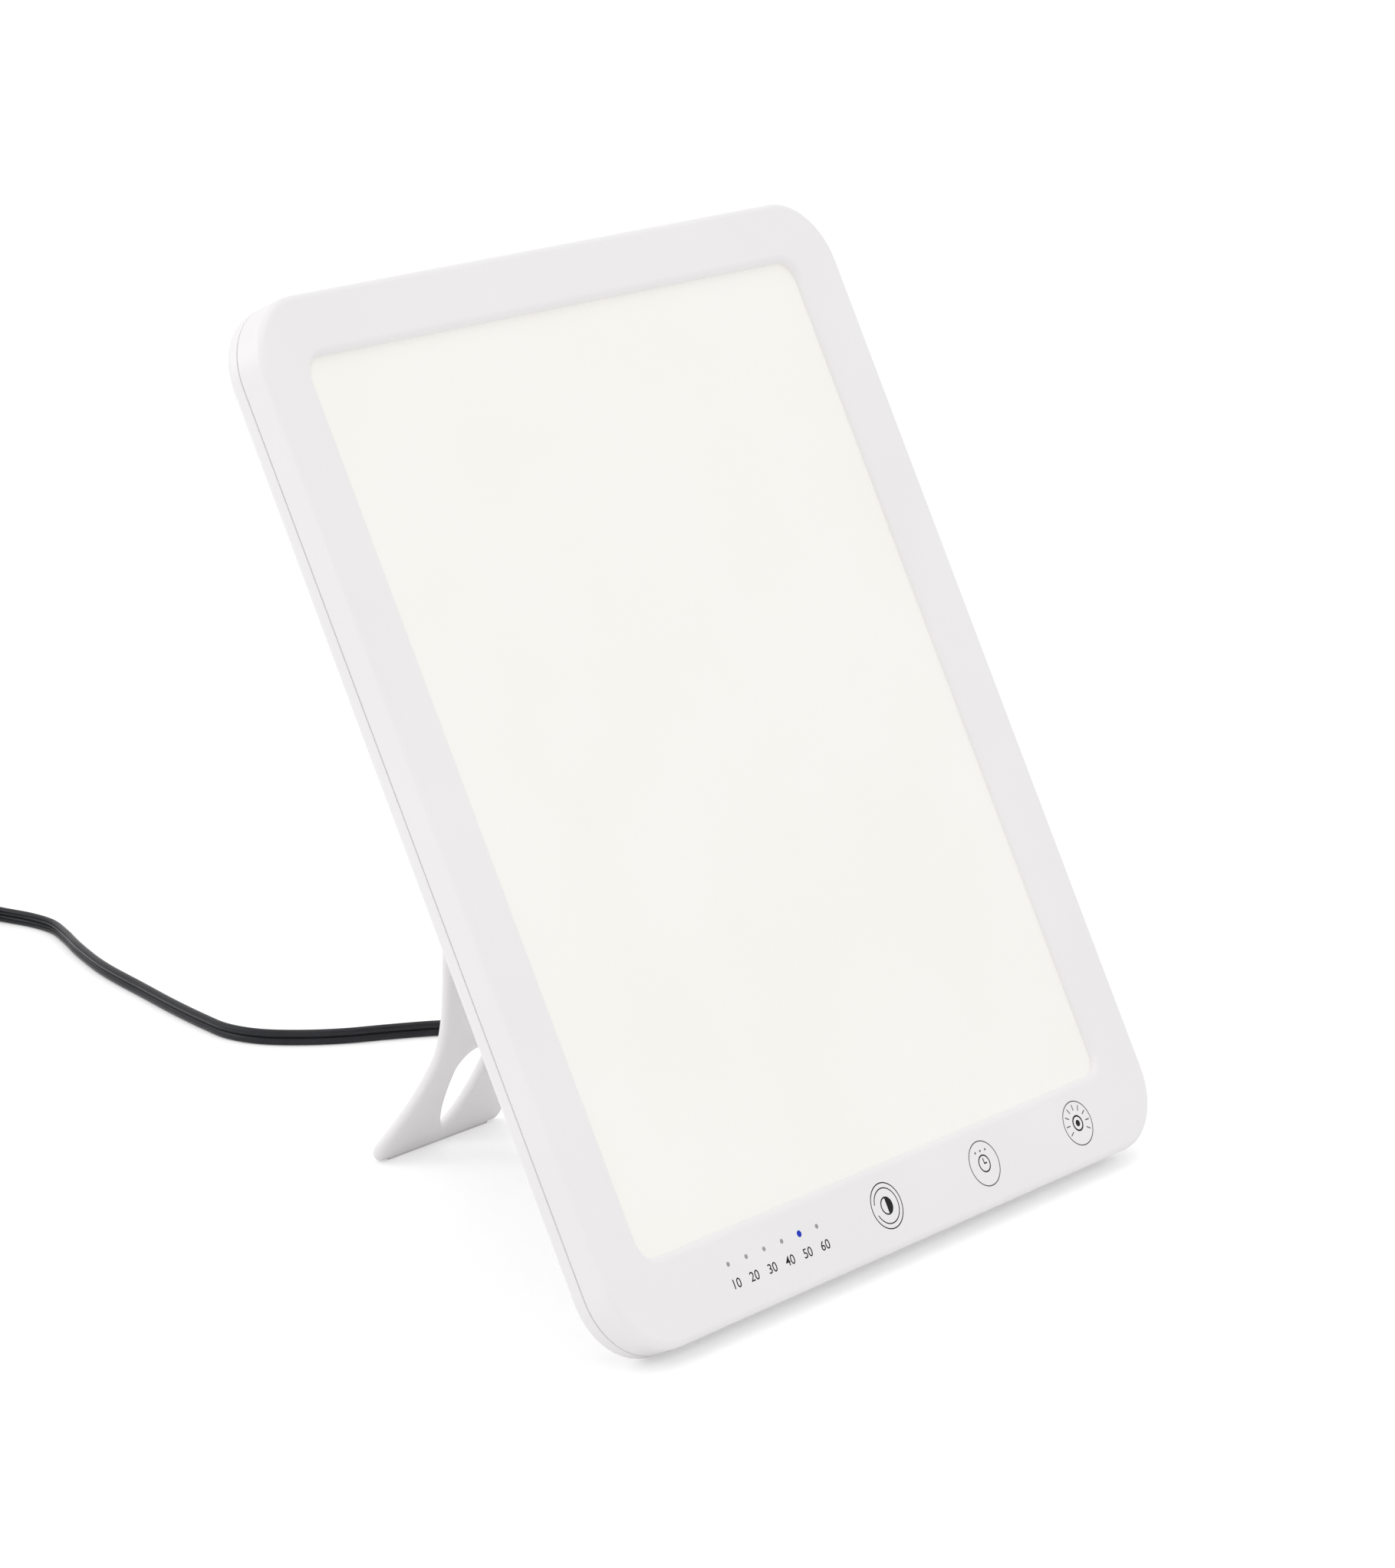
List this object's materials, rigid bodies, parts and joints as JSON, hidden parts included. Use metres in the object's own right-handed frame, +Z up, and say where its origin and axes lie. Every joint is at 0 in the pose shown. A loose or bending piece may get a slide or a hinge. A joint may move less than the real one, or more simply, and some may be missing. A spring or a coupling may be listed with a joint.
{
  "type": "light therapy lamp",
  "caption": "Slim white light therapy lamp: a tablet-like lit panel leaning back on a folding rear stand, with a flat black lead and plug-in supply.",
  "frame": {"origin": "bottom centre of the lamp's box on the table, cord left out", "axes": "+Z up, +Y from the lit face towards the stand, +X to the right as the lit face is looked at"},
  "size_m": [0.2654, 0.5478, 0.2785],
  "materials": {
    "shell": "fine satin",
    "diffuser": "opal satin",
    "film": "prism film",
    "guide": "clear acrylic",
    "reflector": "white film",
    "tray": "mill",
    "board": "solder mask",
    "strip": "white solder mask",
    "led": "phosphor",
    "foam": "open foam",
    "pipe": "frosted",
    "lit_pipe": "lit blue",
    "steel": "zinc plated",
    "pad": "matt",
    "black_plastic": "fine texture",
    "cable": "satin",
    "plated": "nickel",
    "blade_metal": "bare"
  },
  "bodies": {
    "panel": {"front_bezel": "shell", "rear_cover": "shell", "diffuser_panel": "diffuser", "prism_film": "film", "light_guide": "guide", "reflector_sheet": "reflector", "backplate": "tray", "led_board_left": "strip", "led_board_right": "strip", "led_chips": "led", "stack_foam": "foam", "control_board": "board", "touch_pads": "foam", "time_light_leds": "led", "time_lights": "pipe", "lit_time_light": "lit_pipe", "board_screws": "steel", "dc_jack": "black_plastic", "case_screws": "steel", "bottom_pads": "pad", "hinge_bracket_left": "shell", "hinge_bracket_right": "shell", "hinge_screws": "steel", "hinge_pins": "steel", "friction_washers": "steel", "plug_barrel": "plated", "plug_body": "black_plastic", "plug_relief": "black_plastic", "power_lead": "cable", "lead_coil": "cable", "coil_tie": "black_plastic", "supply_relief": "black_plastic", "supply_base": "black_plastic", "supply_cover": "black_plastic", "supply_blades": "blade_metal"},
    "stand": {"stand_plate": "shell", "stand_foot_pad": "pad"}
  },
  "joints": [
    {"name": "stand_hinge", "type": "hinge", "parent": "panel", "child": "stand", "pos_m": [0, 0.00653, 0.16019], "axis": [1, 0, 0], "range_deg": [-54, 0]}
  ]
}
